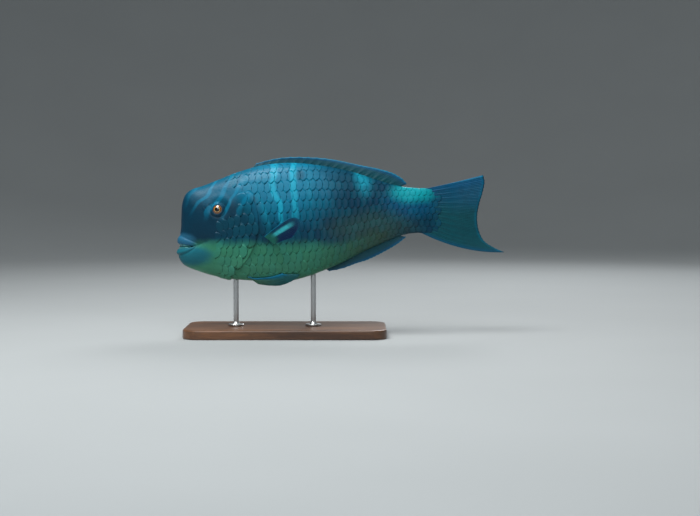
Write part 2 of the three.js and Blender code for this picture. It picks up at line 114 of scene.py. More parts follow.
def smooth_through(points):
    """A smooth function of x through the points, flat beyond the first and the last."""
    last = len(points) - 1
    slopes = []
    for i in range(last + 1):
        (xa, ya), (xb, yb) = points[max(i - 1, 0)], points[min(i + 1, last)]
        slopes.append((yb - ya) / (xb - xa))

    def value(x):
        if x <= points[0][0]:
            return points[0][1]
        if x >= points[last][0]:
            return points[last][1]
        i = next(k for k, p in enumerate(points) if p[0] > x) - 1
        (x0, y0), (x1, y1) = points[i], points[i + 1]
        span = x1 - x0
        t = (x - x0) / span
        curl = span * (slopes[i] * t * (1 - t) ** 2 - slopes[i + 1] * t * t * (1 - t))
        return lerp(y0, y1, t * t * (3 - 2 * t)) + curl

    return value


# %% Body outlines, as on the solids up to BODY_END
HEAD_END, BODY_END, BODY_TIP = 100, 364, 392
TAPER_START, TIP_HALF_WIDTH = 352, 1.4  # the stalk thins out over the tail fin's root
TIP_RISE, TIP_DROP = 0.8, 5.5
BACK = Outline([
    (3, -36), (4, -25), (7, -12), (8, 8), (9.5, 28), (15, 42), (25, 49.5), (42, 55), (66, 64.5),
    (96, 76), (129, 85.5), (171, 89), (216, 85.5), (261, 76.5), (298, 65), (330, 55), (364, 51),
])
BELLY = Outline([
    (3, -36), (2.5, -48), (10, -63), (36, -75), (70, -84), (114, -88.5), (160, -90), (201, -81),
    (246, -63), (283, -44), (321, -27), (345, -19), (364, -17),
])
FLANK_START = 30
flank_level = smooth_through([
    (30, -36), (55, -26), (100, -12), (160, -8), (250, 1), (320, 13), (364, 17),
])
half_width = smooth_through([
    (30, 19), (60, 29), (100, 35.5), (150, 38), (200, 35), (250, 27.5), (300, 18), (340, 11),
    (364, 8.5),
])
FULLNESS = 0.92  # 1 for an oval section, less for a boxier one
back_to_nape = BACK.share_at_x(HEAD_END)
belly_to_throat = BELLY.share_at_x(HEAD_END)
TABLE_STEP = 0.5
FOREHEAD_MIDDLE = 70


def exact_station(s):
    """The back's point, the belly's, the flank's widest point and the width there, at s."""
    if s <= HEAD_END:
        t = (s - FLANK_START) / (HEAD_END - FLANK_START)
        return BACK.at(back_to_nape * t), BELLY.at(belly_to_throat * t), half_width(s)
    x = min(s, BODY_END - 0.01)
    back, belly = BACK.at(BACK.share_at_x(x)), BELLY.at(BELLY.share_at_x(x))
    fan = max(s - BODY_END, 0) / (BODY_TIP - BODY_END)
    width = lerp(half_width(s), TIP_HALF_WIDTH, smooth_step(s, TAPER_START, BODY_TIP))
    top, low = back.z + TIP_RISE * fan, belly.z - TIP_DROP * fan
    return Vector((s, 0, top)), Vector((s, 0, low)), width


table = [exact_station(FLANK_START + i * TABLE_STEP)
         for i in range(round((BODY_TIP - FLANK_START) / TABLE_STEP) + 1)]


def station(s):
    """The same, read from a fine table."""
    place = min(max((s - FLANK_START) / TABLE_STEP, 0), len(table) - 1.001)
    i = int(place)
    (back, belly, width), (back_next, belly_next, width_next) = table[i], table[i + 1]
    t = place - i
    flank = Vector((s, 0, flank_level(s)))
    return back.lerp(back_next, t), belly.lerp(belly_next, t), flank, lerp(width, width_next, t)


def bare_body(s, angle):
    """The plain body: angle 0 on the back, a quarter turn on the right flank, half on the belly."""
    back, belly, flank, width = station(s)
    up, out = math.cos(angle), math.sin(angle)
    reach = (back if up >= 0 else belly) - flank
    point = flank + reach * abs(up) ** FULLNESS
    point.y = math.copysign(width * abs(out) ** FULLNESS, out) if abs(out) > 1e-9 else 0.0
    return point


def outward(surface, s, angle, step=0.6):
    """The way out of the body at a place of a surface."""
    turn = step * 0.015
    along = surface(s + step, angle) - surface(max(s - step, FLANK_START), angle)
    around = surface(s, angle + turn) - surface(s, angle - turn)
    normal = around.cross(along)
    if normal.length < 1e-9:
        return Vector((-1, 0, 0))
    normal.normalize()
    point = surface(s, angle)
    middle = Vector((max(point.x, FOREHEAD_MIDDLE), 0, flank_level(point.x)))
    return normal if normal.dot(point - middle) > 0 else -normal


print("body from", round(BACK.at(0).x), "to", BODY_TIP, "mm behind the lips")

# %% [markdown]
# ## Helpers for closed skins
# Body, lids, fins and scales are all tubes of some section that close at both ends. Blender's grid
# operator makes the sheet of faces, a function of each piece's own says where every vertex goes,
# and merging the doubles closes the tube's seam and its ends. A second helper dresses a piece: its
# finish, the solids it stands for, and the body it rides on.

# %% A closed tube from a grid
def add_tube(bm, columns, rows, place):
    """Columns run round the tube and rows along it; the last column repeats the first."""
    made = bmesh.ops.create_grid(bm, x_segments=columns, y_segments=rows, size=0.5)["verts"]
    grid = {}
    for v in made:
        i = round((v.co.x + 0.5) * columns)
        j = round((v.co.y + 0.5) * rows)
        v.co = place(i % columns, j)
        grid[i, j] = v
    return grid


MERGE_DISTANCE = 1e-7


def finish_mesh(name, bm):
    """Merge the doubles, turn the faces outwards and make the object."""
    bmesh.ops.remove_doubles(bm, verts=bm.verts[:], dist=MERGE_DISTANCE)
    bmesh.ops.dissolve_degenerate(bm, edges=bm.edges[:], dist=MERGE_DISTANCE)
    bmesh.ops.recalc_face_normals(bm, faces=bm.faces[:])
    for face in bm.faces:
        face.smooth = True
    mesh = bpy.data.meshes.new(name)
    bm.to_mesh(mesh)
    bm.free()
    obj = bpy.data.objects.new(name, mesh)
    bpy.context.scene.collection.objects.link(obj)
    print(name, len(mesh.polygons), "faces")
    return obj


def make_tube(name, columns, rows, place):
    """A piece that is one tube."""
    bm = bmesh.new()
    add_tube(bm, columns, rows, place)
    return finish_mesh(name, bm)


def dress(piece, material, slot, *nodes):
    piece.data.materials.append(material)
    if nodes:
        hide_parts(*nodes)
    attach(piece, "root")


SIDES = (("left", -1), ("right", 1))

# %% [markdown]
# ## Writing shaders as sums
# A finish is easier to read as arithmetic than as a web of nodes. A small class wraps a socket, so
# that an expression such as 1 - mask * 0.5 adds its Math nodes. Every other node comes from one
# method, which sets the node's own settings first and then its sockets.

# %% Shader helpers
class Flow:
    """A number that varies over the surface."""

    def __init__(self, finish, socket):
        self.finish, self.socket = finish, socket

    def maths(self, operation, *values):
        return self.finish.node("ShaderNodeMath", {"operation": operation}, dict(enumerate(values)))

    def __add__(self, other):
        return self.maths("ADD", self, other)

    def __sub__(self, other):
        return self.maths("SUBTRACT", self, other)

    def __rsub__(self, other):
        return self.maths("SUBTRACT", other, self)

    def __mul__(self, other):
        return self.maths("MULTIPLY", self, other)

    def __pow__(self, other):
        return self.maths("POWER", self, other)

    __radd__ = __add__
    __rmul__ = __mul__

    def step(self, low, high):
        """A smooth step from 0 at low to 1 at high."""
        settings = {"interpolation_type": "SMOOTHSTEP", "clamp": True}
        inputs = {"Value": self, "From Min": low, "From Max": high}
        return self.finish.node("ShaderNodeMapRange", settings, inputs)


class Finish:
    """A material built round one Principled shader, with constants on its own sockets."""

    def __init__(self, name, **constants):
        self.material = bpy.data.materials.new(name)
        self.material.use_nodes = True
        self.tree = self.material.node_tree
        self.shader = self.tree.nodes["Principled BSDF"]
        for key, value in constants.items():
            self.shader.inputs[key.replace("_", " ")].default_value = value
        self.object = self.node("ShaderNodeTexCoord", out="Object")

    def node(self, kind, settings=None, inputs=None, out=0):
        made = self.tree.nodes.new(kind)
        for key, value in (settings or {}).items():
            setattr(made, key, value)
        for key, value in (inputs or {}).items():
            if isinstance(value, Flow):
                self.tree.links.new(value.socket, made.inputs[key])
            else:
                made.inputs[key].default_value = value
        return Flow(self, made.outputs[out])

    def axis(self, name):
        return self.node("ShaderNodeSeparateXYZ", None, {0: self.object}, name)

    def attribute(self, name):
        return self.node("ShaderNodeAttribute", {"attribute_name": name}, None, "Fac")

    def noise(self, scale, detail=3, rough=0.5, vector=None, out=0):
        inputs = {"Vector": vector or self.object, "Scale": scale, "Detail": detail, "Roughness": rough}
        return self.node("ShaderNodeTexNoise", None, inputs, out)

    def stretched(self, x, y, z):
        inputs = {"Vector": self.object, "Scale": (x, y, z)}
        return self.node("ShaderNodeMapping", None, inputs)

    def mix(self, share, a, b):
        """Colour a where share is 0, colour b where it is 1."""
        inputs = {0: share, 6: colour(a), 7: colour(b)}
        return self.node("ShaderNodeMix", {"data_type": "RGBA"}, inputs, 2)

    def bump(self, height, strength, distance, under=None):
        inputs = {"Height": height, "Strength": strength, "Distance": distance}
        if under:
            inputs["Normal"] = under
        return self.node("ShaderNodeBump", None, inputs)

    def feed(self, **links):
        for key, flow in links.items():
            self.tree.links.new(flow.socket, self.shader.inputs[key.replace("_", " ")])
        return self.material


def colour(value):
    """A colour given as screen values from 0 to 255, made linear; a flow is left alone."""
    if isinstance(value, Flow):
        return value
    linear = [((c / 255 + 0.055) / 1.055) ** 2.4 if c > 10 else c / 255 / 12.92 for c in value]
    return (*linear, 1.0)


# %% [markdown]
# ## The fish's markings and painted light
# Skin and scales wear the same markings and the same painted light, so they share one function of
# place. Above a line from the corner of the mouth to the rear of the belly the fish is deep
# blue-green, turquoise on the shoulder and on top of the tail stalk, with a clear blue under that.
# That turquoise, and a little on the forehead, is partly the fish's own colour and partly painted
# sunlight from above, and the side of the head is a touch darker as painted shade. Below the line
# throat and belly are a pale olive green. The rear of the lower flank has a rusty cast, and lips
# and chin are a clearer blue. Streaks of painted rippled sunlight run down forehead and shoulder
# and over the upper back, with a small spot of painted shade among them.

# %% Markings and painted light
DEEP_TEAL = (0, 52, 75)
PAINTED_HEAD_SHADE = (4, 48, 68)
TURQUOISE = (2, 116, 150)
# Colour of the painted sunlight in the sun streaks on shoulder and back.
PAINTED_SUNLIGHT = (20, 176, 205)
STALK_TURQUOISE_AND_SUNLIGHT = (8, 158, 168)
STALK_BLUE = (0, 82, 122)
OLIVE = (50, 122, 94)
BELLY_PALE = (72, 144, 116)
RUST = (52, 78, 62)
LIP_BLUE = (36, 94, 124)
CHIN_TEAL = (26, 100, 114)
DAPPLE_DARK = (2, 26, 42)


def place_x(finish):
    """Millimetres behind the lips."""
    return finish.axis("X") * (1 / MM) + STAND_BEHIND_LIPS


def place_z(finish):
    """Millimetres above the side view's zero."""
    return finish.axis("Z") * (1 / MM) - SWIM_HEIGHT


def patch(x, z, wobble, centre, size, soft):
    """1 inside an oval of the side view, 0 outside, with an uneven soft rim."""
    across = (x - centre[0]) * (1 / size[0])
    up = (z - centre[1]) * (1 / size[1])
    distance = (across * across + up * up) ** 0.5 + wobble
    return 1 - distance.step(1 - soft, 1 + soft)


def sun_ripple_bands(finish, scale, lean, low, high):
    """Uneven bands of painted rippled sunlight that run down the side, leaning back a little."""
    turned = finish.node(
        "ShaderNodeMapping", None, {"Vector": finish.object, "Rotation": (0, lean, 0)})
    bands = finish.node(
        "ShaderNodeTexWave", {"bands_direction": "X"},
        {"Vector": turned, "Scale": scale, "Distortion": 5, "Detail": 2, "Detail Scale": 1.3})
    return bands.step(low, high)


def markings_and_painted_light(finish):
    x, z = place_x(finish), place_z(finish)
    wobble = (finish.noise(22, 4, 0.55) - 0.5) * 0.9
    fine = finish.noise(90, 3, 0.6) - 0.5

    def shaded(tone, paint, share, *oval):
        return finish.mix(patch(x, z, wobble, *oval) * share, tone, paint)

    # Painted shade: the side of the head a touch darker than the flank.
    tone = shaded(DEEP_TEAL, PAINTED_HEAD_SHADE, 1, (70, 0), (70, 62), 0.35)
    # Turquoise on shoulder and forehead: partly the fish's own colour, partly painted sunlight from
    # above.
    tone = shaded(tone, TURQUOISE, 0.8, (165, 62), (60, 56), 0.6)
    tone = shaded(tone, TURQUOISE, 0.4, (66, 56), (52, 24), 0.5)
    # Painted sunlight: rippled streaks of sun over the forehead.
    painted_sun_ripples_forehead = sun_ripple_bands(finish, 16, -0.5, 0.62, 0.95)
    forehead = patch(x, z, wobble, (72, 42), (46, 34), 0.4)
    tone = finish.mix(painted_sun_ripples_forehead * forehead * 0.6, tone, TURQUOISE)
    # Painted sunlight: rippled streaks of sun down the shoulder.
    painted_sun_ripples_shoulder = sun_ripple_bands(finish, 12, 0.12, 0.5, 0.95)
    lit = patch(x, z, wobble, (164, 50), (30, 58), 0.5)
    tone = finish.mix(painted_sun_ripples_shoulder * lit * 0.5, tone, PAINTED_SUNLIGHT)
    # Painted sunlight: a narrow leaning sun streak on the upper back.
    painted_sun_streak = patch(x + z * 0.2, z, wobble, (292, 66), (11, 22), 0.7) * (fine + 0.6)
    tone = finish.mix(painted_sun_streak * 0.7, tone, PAINTED_SUNLIGHT)
    # Painted shade: a small dark spot on the shoulder among the painted sun streaks.
    tone = shaded(tone, DEEP_TEAL, 0.6, (187, 70), (7, 9), 0.6)
    tone = shaded(tone, STALK_BLUE, 0.7, (352, 26), (34, 20), 0.6)
    # Top of the tail stalk: partly its own turquoise, partly painted sunlight from above.
    tone = shaded(tone, STALK_TURQUOISE_AND_SUNLIGHT, 0.85, (357, 45), (29, 15), 0.5)
    tone = shaded(tone, RUST, 0.6, (296, -10), (58, 24), 0.6)
    border = (x - 240).step(0, 85) * 20 - 31
    below = (border - z + wobble * 12 + fine * 8).step(-9, 9)
    belly_tone = finish.mix((border - z).step(0, 60), OLIVE, BELLY_PALE)
    belly_tone = finish.mix((x - 190).step(0, 130), belly_tone, RUST)
    tone = finish.mix(below * (1 - (x - 300).step(0, 40)), tone, belly_tone)
    tone = shaded(tone, CHIN_TEAL, 1, (10, -50), (46, 17), 0.3)
    tone = shaded(tone, LIP_BLUE, 1, (4, -28), (26, 12), 0.3)
    dapple = finish.noise(60, 5, 0.65).step(0.3, 0.75)
    return finish.mix(dapple * 0.2, tone, finish.mix(0.5, tone, DAPPLE_DARK))


# %% [markdown]
# ## The skin
# The solids are parted with thin cuts at gill covers, neck and tail stalk. On the finished fish
# one skin covers them all. It is a tube whose rings fan out round the blunt forehead: each joins a
# point of the back to one of the belly. The first rings turn in between the lips to line the
# mouth. Lips, the hollow round the eye and the swell of the gill covers are raised on it.

# %% Places of the head
MOUTH_Z, MOUTH_CORNER, GAPE, LINING = -36, 30, 4.6, 11
EYE_X, EYE_Z, EYE_RADIUS, EYE_DEPTH = 67, 21, 10.5, 7
NOSTRILS = ((46, 22, 1.5), (53, 25, 1.9))
GILL_EDGE = Outline([
    (97, 76), (111, 48), (122, 21), (125, 0), (122, -24), (110, -51), (92, -72), (77, -88),
])
SWELL_HEIGHT, SWELL_AHEAD, SWELL_BEHIND = 1.1, 26, 7
COAT = 0.55
RINGS_IN_HEAD, RING_STEP, RING_SIDES, LINING_RINGS = 112, 2.2, 176, 6


gill_x = smooth_through([(p.z, p.x) for p in reversed(GILL_EDGE.points[::20])])


def gill_swell(x, z):
    """The gill covers swell towards their edge, behind which the shoulder drops."""
    ahead = gill_x(z) - x
    if ahead > 0:
        along = smooth_step(SWELL_AHEAD - ahead, 0, SWELL_AHEAD)
    else:
        along = smooth_step(ahead, -SWELL_BEHIND, 0)
    return SWELL_HEIGHT * along * smooth_step(z, -95, -70) * (1 - smooth_step(z, 35, 60))


def lip_rise(s, angle):
    """The lips: a rounded roll beside the mouth line, thinner towards the corner."""
    start = bare_body(FLANK_START, angle)
    far = (bare_body(s, angle) - start).length
    corner = abs(math.sin(angle)) ** 3
    size = lerp(1, 0.5, corner)
    height, reach = 1.6 * size, (16 if math.cos(angle) > 0 else 13) * size
    roll = max(1 - ((far / reach) * 2 - 0.9) ** 2 / 1.15, 0) ** 0.6
    crease = math.exp(-(((far - reach * 1.04) / 2.6) ** 2))
    return height * roll - 0.55 * crease, far


def skin_point(s, angle):
    """The skin of the finished fish in the side view's frame, without the mouth's lining."""
    point = bare_body(s, angle)
    normal = outward(bare_body, s, angle)
    rise = gill_swell(point.x, point.z) - COAT
    if s < 62:
        roll, far = lip_rise(s, angle)
        rise += roll
        front = abs(math.cos(angle)) ** 0.8
        side = 1 if math.cos(angle) >= 0 else -1
        point.z += side * GAPE * front * (1 - smooth_step(far, 0, 15))
    hollow = math.hypot(point.x - EYE_X, point.z - EYE_Z)
    rise -= 1.6 * math.exp(-((hollow / 13) ** 4)) - 0.7 * math.exp(-(((hollow - 17) / 5) ** 2))
    for nx, nz, size in NOSTRILS:
        away = math.hypot(point.x - nx, point.z - nz) / size
        rise += 0.5 * math.exp(-((away - 1.5) ** 2) * 3) - 1.2 * math.exp(-(away ** 2) * 1.6)
    folded = Vector((point.x, abs(point.y), point.z))
    ripple = noise.noise(folded * 0.035) * 0.5 + noise.noise(folded * 0.11) * 0.14
    return point + normal * (rise + ripple * smooth_step(s, 40, 90))


def lining_point(depth, angle):
    """The inside of the mouth, from the lips' edge to where its roof meets its floor."""
    edge = skin_point(FLANK_START, angle)
    inner = Vector((MOUTH_CORNER + 2, 0, MOUTH_Z))
    inward = (inner - Vector((edge.x, edge.y, MOUTH_Z))).normalized()
    open_now = (edge.z - MOUTH_Z) * (1 - depth ** 3)
    reach = min(LINING, (inner - edge).length * 0.9) * depth
    return Vector((edge.x, edge.y, MOUTH_Z + open_now)) + inward * reach


# %% Make the skin
def skin_stations():
    head = [FLANK_START + (HEAD_END - FLANK_START) * (i / RINGS_IN_HEAD) ** 1.25
            for i in range(RINGS_IN_HEAD + 1)]
    steps = round((BODY_TIP - HEAD_END) / RING_STEP)
    return head + [lerp(HEAD_END, BODY_TIP, i / steps) for i in range(1, steps + 1)]


def make_skin():
    stations = skin_stations()
    rows = LINING_RINGS + len(stations)

    def place(i, j):
        angle = i / RING_SIDES * 2 * math.pi
        if j < LINING_RINGS:
            return in_frame(lining_point(1 - j / LINING_RINGS, angle))
        if j < rows:
            return in_frame(skin_point(stations[j - LINING_RINGS], angle))
        last = skin_point(BODY_TIP, angle)
        last.y = 0
        return in_frame(last)

    return make_tube("skin", RING_SIDES, rows, place)


skin = make_skin()

# %% Skin finish
def make_skin_finish():
    finish = Finish("fish_skin", Coat_Weight=0.05, Coat_Roughness=0.2, Specular_IOR_Level=0.13)
    tone = markings_and_painted_light(finish)
    pores = finish.noise(1400, 2, 0.5)
    wrinkles = finish.noise(170, 4, 0.6)
    rough = finish.noise(120, 3, 0.6) * 0.22 + 0.34
    ground = finish.bump(wrinkles, 0.35, 0.0012)
    normal = finish.bump(pores, 0.25, 0.0003, ground)
    return finish.feed(Base_Color=tone, Roughness=rough, Normal=normal)


skin_finish = make_skin_finish()
dress(skin, skin_finish, "skin", "head", "gill_cover_left", "gill_cover_right", "torso", "tail_stalk")

# %% [markdown]
# ## Gill covers
# The bony flap over the gills ends in a free edge that stands a little off the shoulder. It is
# modelled as a thin leaf: its front is buried in the skin, so that no seam shows, and its rear
# edge lifts, rounds over and turns under.

# %% Gill flaps
def near_body(x, z):
    """The place of the body's surface that is seen at x, z from the side, as s and angle."""
    s = x
    for _ in range(1 if x > HEAD_END + 20 else 14):  # the trunk's rings are upright
        s = min(max(s, FLANK_START), BODY_TIP)
        back, belly, flank, _ = station(s)
        high = z >= flank.z
        reach = (back if high else belly) - flank
        share = min(max((z - flank.z) / reach.z, 0), 0.999)
        s += x - (flank.x + reach.x * share)
    up = share ** (1 / FULLNESS)
    return min(max(s, FLANK_START), BODY_TIP), math.acos(up if high else -up)


def over_skin(x, z, lift, side):
    """A point lifted off the skin at a place of the side view; side is -1 on the left."""
    s, angle = near_body(x, z)
    point = skin_point(s, angle) + outward(bare_body, s, angle) * lift
    point.y *= side
    return point


FLAP_LENGTH, FLAP_LIFT = 30, 1.7
FLAP_ROWS, FLAP_TOP, FLAP_LOW = 72, 0.18, 0.93


def make_gill_flap(name, side):
    # Shares of the flap's length ahead of its edge, with the lift off the skin.
    profile = [(1.0, -0.9), (0.8, -0.35), (0.6, 0.1), (0.42, 0.45), (0.27, 0.8), (0.15, 1.15),
               (0.07, 1.4), (0.025, 1.6), (0, 1.7), (-0.03, 1.55), (-0.045, 1.2), (-0.04, 0.85),
               (-0.015, 0.65), (0.05, 0.3), (0.2, -0.4), (0.5, -0.9), (0.8, -1.2)]

    def place(i, j):
        t = j / FLAP_ROWS
        ends = smooth_step(t, 0, 0.12) * (1 - smooth_step(t, 0.86, 1))
        edge = GILL_EDGE.at(lerp(FLAP_TOP, FLAP_LOW, t))
        ahead, lift = profile[i]
        x = edge.x - ahead * FLAP_LENGTH * lerp(0.35, 1, ends)
        lift = lerp(-1.2, lift, ends)
        if j in (0, FLAP_ROWS):
            x, lift = edge.x - 3, -1.2
        return in_frame(over_skin(x, edge.z, lift, side))

    return make_tube(name, len(profile), FLAP_ROWS, place)


for side_name, side_sign in SIDES:
    dress(make_gill_flap(f"gill_flap_{side_name}", side_sign), skin_finish, "skin")

# %% [markdown]
# ## Scales
# A parrotfish wears large round-edged scales, about two dozen along the flank. Each is a thin
# plate of a few dozen faces: its root is buried, and its rear edge stands a third of a millimetre
# proud of the next. The rows run from the tail fin's root over flank and gill cover to cheek and
# nape, every second one half a scale further forward. Their height is measured over the skin,
# because angles alone would stretch them where the rings fan out round the forehead.

# %% One scale
SCALE_ROWS = (0, 0.22, 0.45, 0.66, 0.83, 0.94, 1)
SCALE_TOP, SCALE_UNDER = 6, 2
SCALE_SIDES = SCALE_TOP + SCALE_UNDER
SCALE_WIDEST, SCALE_EMERGES, SCALE_PROUD = 0.45, 0.36, 0.32
BODY_SINK, FACE_SINK, FACE_RAISE = 0.22, 0.38, 0.2
SCALE_THICKNESS, SCALE_BURIED = 0.24, 0.8  # at the free edge and at the root
PATCH, UNWRAP_LENGTH = 0.003, 380


def scale_section(a, k, sink):
    """The place across the scale, -1 to 1, and the lift of point k of the section at a."""
    if k <= SCALE_TOP:
        b, top = k / SCALE_TOP * 2 - 1, 1
    else:
        b, top = 1 - (k - SCALE_TOP) / SCALE_UNDER * 2, 0
    if a > SCALE_WIDEST:
        spread = math.sqrt(max(1 - ((a - SCALE_WIDEST) / (1 - SCALE_WIDEST)) ** 2, 0))
    else:
        spread = lerp(0.6, 1, a / SCALE_WIDEST)
    lift = SCALE_PROUD * (a - SCALE_EMERGES) / (1 - SCALE_EMERGES) - sink * b * b * spread
    thickness = lerp(SCALE_BURIED, SCALE_THICKNESS, smooth_step(a, 0.6, 0.94))
    return b * spread, lift - (0 if top else thickness)


def add_scale(bm, length, height, unwrap, place, sink):
    """A scale from its root backwards; place turns dx, dz and lift into a point."""
    lean = random.uniform(-0.05, 0.05)
    raise_all = random.uniform(-0.06, 0.08)
    number = random.random()

    def vertex(i, j):
        a = SCALE_ROWS[j]
        across, lift = scale_section(a, i, sink)
        dx = (a - 0.5) * length
        dz = across * height / 2 + lean * dx
        return in_frame(place(dx, dz, lift + raise_all))

    rows = len(SCALE_ROWS) - 1
    grid = add_tube(bm, SCALE_SIDES, rows, vertex)
    uv, tail_share = bm.loops.layers.uv["OFBake"], bm.verts.layers.float["scale_share"]
    across_share, tone = bm.verts.layers.float["scale_across"], bm.verts.layers.float["scale_tone"]
    spots = {}
    for (i, j), v in grid.items():
        across, _ = scale_section(SCALE_ROWS[j], i % SCALE_SIDES, sink)
        v[tail_share], v[across_share], v[tone] = SCALE_ROWS[j], across, number
        spots[v] = (unwrap[0] + (SCALE_ROWS[j] - 0.5) * PATCH, unwrap[1] + i / SCALE_SIDES * PATCH)
    for face in {f for v in grid.values() for f in v.link_faces}:
        for loop in face.loops:
            loop[uv].uv = spots[loop.vert]


# %% Where scales grow
SCALE_STEP, SCALE_LENGTH, SCALE_OVERLAP = 9.6, 19, 1.62
TAIL_ROOT = 399.0  # the last scales lie over the tail fin's root
GIRTH_STEPS = 48
random.seed(23)


def row_height(s):
    return lerp(15.5, 9.4, smooth_step(s, 190, 350)) * lerp(0.8, 1, smooth_step(s, 50, 105))


def scale_size(s, at_tail):
    """Scales shrink towards the tail, and on the head with the height of their rows."""
    return lerp(1, at_tail, smooth_step(s, 250, 350)) * row_height(s) / row_height(max(s, 105))


def girth_table(s):
    """Angles down one side, with their distance over the skin from the flank's widest line."""
    angles = [i / GIRTH_STEPS * math.pi for i in range(GIRTH_STEPS + 1)]
    points = [bare_body(s, angle) for angle in angles]
    reach = [0.0]
    for a, b in zip(points, points[1:]):
        reach.append(reach[-1] + (b - a).length)
    return [reach[GIRTH_STEPS // 2] - r for r in reach]


girths = [girth_table(s) for s in range(FLANK_START, BODY_TIP + 2)]


def angle_in(heights, height):
    """The angle at which the skin has gone so far up from the flank's widest line."""
    if not heights[-1] < height < heights[0]:
        return None
    k = next(i for i, h in enumerate(heights) if h <= height)
    t = (heights[k - 1] - height) / (heights[k - 1] - heights[k])
    return (k - 1 + t) / GIRTH_STEPS * math.pi


def angle_at(s, height):
    low = min(max(int(s), FLANK_START), BODY_TIP) - FLANK_START
    before, after = angle_in(girths[low], height), angle_in(girths[low + 1], height)
    if before is None or after is None:
        return before or after
    return lerp(before, after, s - int(s))


def pace(s, row):
    """How far a step of one of s goes over the skin along a row; more where the rings fan out."""
    here, there = (bare_body(a, angle_at(a, row * row_height(a)) or 0.1) for a in (s, s + 1))
    return max((there - here).length, 0.7)


def scale_on(bm, s0, row, side):
    on_body = min(s0, BODY_TIP - 1)
    angle0 = angle_at(on_body, row * row_height(on_body))
    girth = girths[int(on_body) - FLANK_START]
    quick = pace(on_body, row)
    root = bare_body(on_body, angle0)
    on_flap = root.z < 44 and gill_x(root.z) > root.x
    face = on_flap or s0 < 104

    def place(dx, dz, lift):
        lift += FACE_RAISE * smooth_step(dx, -4, 4) if face else 0
        along = s0 + dx / quick
        s = min(along, BODY_TIP)
        level = min(max(row * row_height(s) + dz, girth[-1] + 1.5), girth[0] - 1.5)
        angle = angle_at(s, level) or angle0
        if on_flap:
            bare = bare_body(s, angle)
            ahead = gill_x(bare.z) - bare.x
            lift = lift * 0.85 + FLAP_LIFT * smooth_step(FLAP_LENGTH - ahead, 0, FLAP_LENGTH) ** 1.3
        point = skin_point(s, angle) + outward(bare_body, min(s, BODY_TIP - 1), angle) * lift
        point.x += max(along - BODY_TIP, 0)
        point.y *= side
        return point

    turn = angle0 / (2 * math.pi)
    unwrap = ((s0 - FLANK_START) / UNWRAP_LENGTH + 0.02, turn if side > 0 else 1 - turn)
    length, height = SCALE_LENGTH * scale_size(s0, 0.88), SCALE_OVERLAP * row_height(s0)
    add_scale(bm, length, height, unwrap, place, FACE_SINK if face else BODY_SINK)


def scale_places():
    """Places of the scales from the tail forward, so that each overlaps the one behind it."""
    for row in range(-11, 12):
        s = TAIL_ROOT - (SCALE_STEP / 2 if row % 2 else 0)
        while s > 48:
            s -= SCALE_STEP * scale_size(s, 0.9) / pace(min(s, BODY_TIP - 1), row)
            angle = angle_at(min(s, BODY_TIP), row * row_height(s))
            if angle is None or not 0.10 < angle < math.pi - 0.07:
                continue
            point = bare_body(s, angle)
            ahead = gill_x(point.z) - point.x
            on_nape = point.z > 44 and point.x > 62 + (78 - point.z) * 0.7
            below_eye = math.hypot(point.x - EYE_X, point.z - EYE_Z) > 24
            behind_mouth = math.hypot(point.x - 30, (point.z + 40) * 0.8) > 29
            on_cheek = ahead > 6 and point.z < 44 and point.x > 60 + max(point.z, 0)
            if ahead < 0 or on_nape or (on_cheek and below_eye and behind_mouth):
                yield s, row


def make_scales(name, side):
    bm = bmesh.new()
    bm.loops.layers.uv.new("OFBake")
    for layer in ("scale_share", "scale_across", "scale_tone"):
        bm.verts.layers.float.new(layer)
    places = list(scale_places())
    for s, row in places:
        scale_on(bm, s, row, side)
    print(len(places), "scales on one side")
    return finish_mesh(name, bm)


# %% Scale finish
BAR_PINK = (84, 84, 104)
EDGE_DARK = (4, 40, 56)


def make_scale_finish():
    finish = Finish("fish_scales", Coat_Weight=0.06, Coat_Roughness=0.12, Specular_IOR_Level=0.13)
    tone = markings_and_painted_light(finish)
    share, number = finish.attribute("scale_share"), finish.attribute("scale_tone")
    across = finish.attribute("scale_across")
    x, z = place_x(finish), place_z(finish)
    lighter = finish.mix(0.2, tone, (12, 140, 158))
    tone = finish.mix(number * 0.5, tone, lighter)
    rear = patch(x, z, finish.noise(22) - 0.5, (280, 0), (100, 60), 0.6)
    bar = share.step(0.55, 0.75) * (1 - share.step(0.8, 0.93))
    tone = finish.mix(bar * rear * 0.1, tone, BAR_PINK)
    rim = share.step(0.88, 0.99) * 0.25
    tone = finish.mix(rim, tone, finish.mix(0.45, tone, EDGE_DARK))
    rings = share * 150 + across * across * 14
    growth = rings.maths("SINE", rings)
    fan = (across * 60).maths("SINE", across * 60)
    grain = growth * 0.4 + fan * 0.3 + finish.noise(500, 2) * 0.6
    rough = finish.noise(140, 3, 0.6) * 0.2 + 0.3
    return finish.feed(Base_Color=tone, Roughness=rough, Normal=finish.bump(grain, 0.16, 0.0003))


scale_finish = make_scale_finish()
for side_name, side_sign in SIDES:
    dress(make_scales(f"scales_{side_name}", side_sign), scale_finish, "skin")

# %% [markdown]
# ## Eyes
# The eye is a ball set deep in the head, so that only a shallow dome shows. A parrotfish turns its
# eyes freely, so a soft ring of skin rings the dome in place of lids. Pupil and iris are told
# apart by the angle from the eye's own axis, kept as an attribute.

# %% Eyeballs and lids
LID_MAJOR, LID_MINOR, LID_SIDES, LID_ROUND = 9.0, 1.9, 12, 56
eye_s, eye_angle = near_body(EYE_X, EYE_Z)
eye_out = outward(bare_body, eye_s, eye_angle, 3)
eye_skin = bare_body(eye_s, eye_angle)
eye_middle = eye_skin - eye_out * EYE_DEPTH


def mirror_side(p, side):
    return Vector((p.x, p.y * side, p.z))


